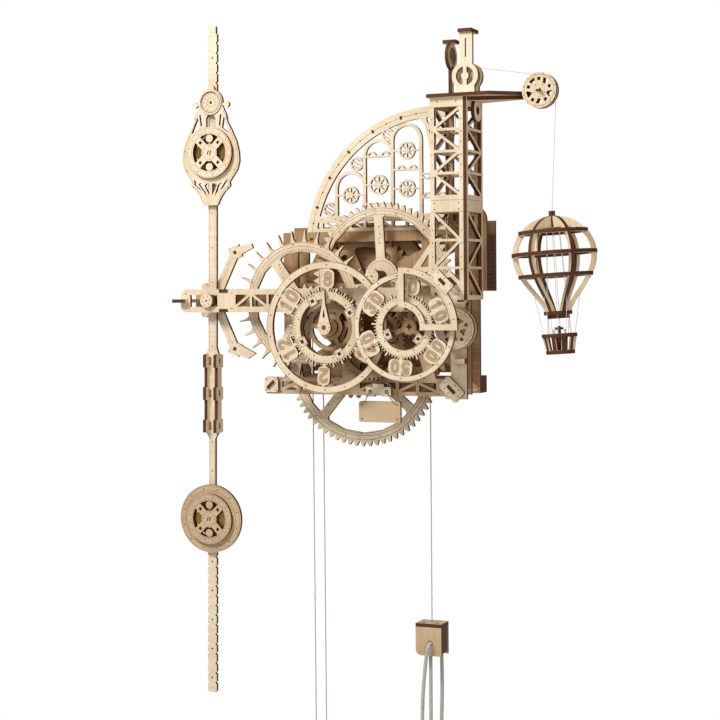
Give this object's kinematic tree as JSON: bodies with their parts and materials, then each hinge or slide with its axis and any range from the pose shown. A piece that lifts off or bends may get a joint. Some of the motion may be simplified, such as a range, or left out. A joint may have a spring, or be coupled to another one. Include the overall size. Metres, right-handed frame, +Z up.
{
  "type": "pendulum wall clock model",
  "caption": "Laser cut plywood wall clock model: open wheel train, pendulum with sliding weights, hour and minute dials, lattice tower and a hanging balloon",
  "frame": {"origin": "middle of the two wall screws, on the wall plane", "axes": "+X right as seen from the front, +Y into the wall, +Z up"},
  "size_m": [0.3818, 0.103, 0.6397],
  "materials": {
    "birch": "bare laser cut plywood",
    "birch_dark": "bare laser cut plywood, shaded",
    "coin": "satin",
    "wire": "satin",
    "cord": "twisted cord",
    "rope": "braided"
  },
  "bodies": {
    "frame": {"wall_spacers": "birch_dark", "back_frame": "birch_dark", "stretchers": "birch", "middle_frame": "birch_dark", "front_beam": "birch", "front_lower": "birch", "right_column": "birch", "corner_plates": "birch", "arm_rear": "birch_dark", "minute_bridge": "birch_dark", "arch_window": "birch", "arch_fretwork": "birch", "tower_front": "birch", "tower_back": "birch_dark", "tower_sides": "birch", "jib": "birch_dark", "pulley_bracket": "birch", "coin_post": "birch_dark", "side_cover": "birch", "sector_frame": "birch", "dial_posts": "birch_dark", "hour_pointer": "birch", "sign_bracket": "birch", "hoist_thread": "rope", "drive_cord": "cord", "loop_pulley": "birch_dark", "weight_block": "birch", "weight_rope": "rope"},
    "pendulum": {"pendulum_rod": "birch", "rod_sleeve": "birch_dark", "anchor": "birch", "pendulum_arbor": "birch_dark"},
    "upper_weight": {"upper_weight_front": "birch", "upper_weight_back": "birch_dark", "upper_weight_coins": "coin"},
    "bob": {"bob_front": "birch", "bob_back": "birch_dark", "bob_coins": "coin"},
    "great": {"great_wheel": "birch", "great_arbor": "birch_dark"},
    "cord_drum": {"cord_wheel": "birch", "winding_wheel": "birch_dark"},
    "upper": {"upper_wheel": "birch", "upper_arbor": "birch_dark"},
    "escape": {"escape_wheel": "birch", "escape_arbor": "birch_dark"},
    "minute": {"minute_ring": "birch", "minute_arbor": "birch_dark"},
    "hour": {"hour_ring": "birch", "hour_wheel": "birch_dark"},
    "inter": {"inter_wheel": "birch_dark"},
    "balloon": {"balloon_ribs": "birch", "balloon_hoops": "birch_dark", "balloon_basket": "birch_dark", "balloon_threads": "rope"},
    "jib_wheel": {"jib_wheel": "birch"},
    "top_pulley": {"top_pulley": "birch"},
    "thread_drum": {"thread_drum": "birch"},
    "sign": {"name_plate": "birch", "sign_links": "wire"}
  },
  "joints": [
    {"name": "great_wheel_spin", "type": "hinge", "parent": "frame", "child": "great", "pos_m": [-0.02048, -0.0435, -0.11113], "axis": [0, 1, 0], "continuous": true},
    {"name": "cord_wheel_spin", "type": "hinge", "parent": "frame", "child": "cord_drum", "pos_m": [-0.02148, -0.0245, -0.04714], "axis": [0, 1, 0], "continuous": true},
    {"name": "upper_wheel_spin", "type": "hinge", "parent": "frame", "child": "upper", "pos_m": [0.0005, -0.0495, -0.036], "axis": [0, 1, 0], "continuous": true},
    {"name": "escape_wheel_spin", "type": "hinge", "parent": "frame", "child": "escape", "pos_m": [-0.07126, -0.0555, -0.0578], "axis": [0, 1, 0], "continuous": true},
    {"name": "minute_dial_spin", "type": "hinge", "parent": "frame", "child": "minute", "pos_m": [0.0378, -0.0925, -0.0778], "axis": [0, 1, 0], "continuous": true},
    {"name": "inter_wheel_spin", "type": "hinge", "parent": "frame", "child": "inter", "pos_m": [0.00029, -0.0725, -0.09169], "axis": [0, 1, 0], "continuous": true},
    {"name": "hour_dial_spin", "type": "hinge", "parent": "frame", "child": "hour", "pos_m": [-0.0347, -0.0865, -0.0782], "axis": [0, 1, 0], "continuous": true},
    {"name": "pendulum_swing", "type": "hinge", "parent": "frame", "child": "pendulum", "pos_m": [-0.156, -0.0595, -0.0553], "axis": [0, 1, 0], "range_deg": [0, 4]},
    {"name": "upper_weight_slide", "type": "slide", "parent": "pendulum", "child": "upper_weight", "axis": [0.014, 0, 0.9999], "range_m": [-0.02, 0.045]},
    {"name": "bob_slide", "type": "slide", "parent": "pendulum", "child": "bob", "axis": [0.014, 0, 0.9999], "range_m": [-0.1, 0.005]},
    {"name": "balloon_lift", "type": "slide", "parent": "frame", "child": "balloon", "axis": [0, 0, 1], "range_m": [0, 0.07], "deforming": ["hoist_thread"]},
    {"name": "jib_wheel_turn", "type": "hinge", "parent": "frame", "child": "jib_wheel", "pos_m": [0.1453, -0.065, 0.1106], "axis": [0, 1, 0], "range_deg": [-330, 0]},
    {"name": "top_pulley_turn", "type": "hinge", "parent": "frame", "child": "top_pulley", "pos_m": [0.0845, -0.066, 0.1249], "axis": [0, 1, 0], "range_deg": [-490, 0]},
    {"name": "thread_drum_turn", "type": "hinge", "parent": "frame", "child": "thread_drum", "pos_m": [0.076, -0.0745, -0.0795], "axis": [0, 1, 0], "range_deg": [-280, 0]},
    {"name": "sign_swing", "type": "hinge", "parent": "frame", "child": "sign", "pos_m": [0.0078, -0.07585, -0.132], "axis": [1, 0, 0], "range_deg": [-25, 6]}
  ],
  "couplings": [
    {"joint": "upper_wheel_spin", "follows": "great_wheel_spin", "ratio": -6.8},
    {"joint": "escape_wheel_spin", "follows": "great_wheel_spin", "ratio": 29.629},
    {"joint": "cord_wheel_spin", "follows": "great_wheel_spin", "ratio": -0.3913},
    {"joint": "minute_dial_spin", "follows": "great_wheel_spin", "ratio": -0.61111},
    {"joint": "inter_wheel_spin", "follows": "great_wheel_spin", "ratio": 0.2037},
    {"joint": "hour_dial_spin", "follows": "great_wheel_spin", "ratio": -0.050926},
    {"joint": "jib_wheel_turn", "follows": "balloon_lift", "rad_per_m": -80.972},
    {"joint": "top_pulley_turn", "follows": "balloon_lift", "rad_per_m": -121.21},
    {"joint": "thread_drum_turn", "follows": "balloon_lift", "rad_per_m": -68.493}
  ]
}
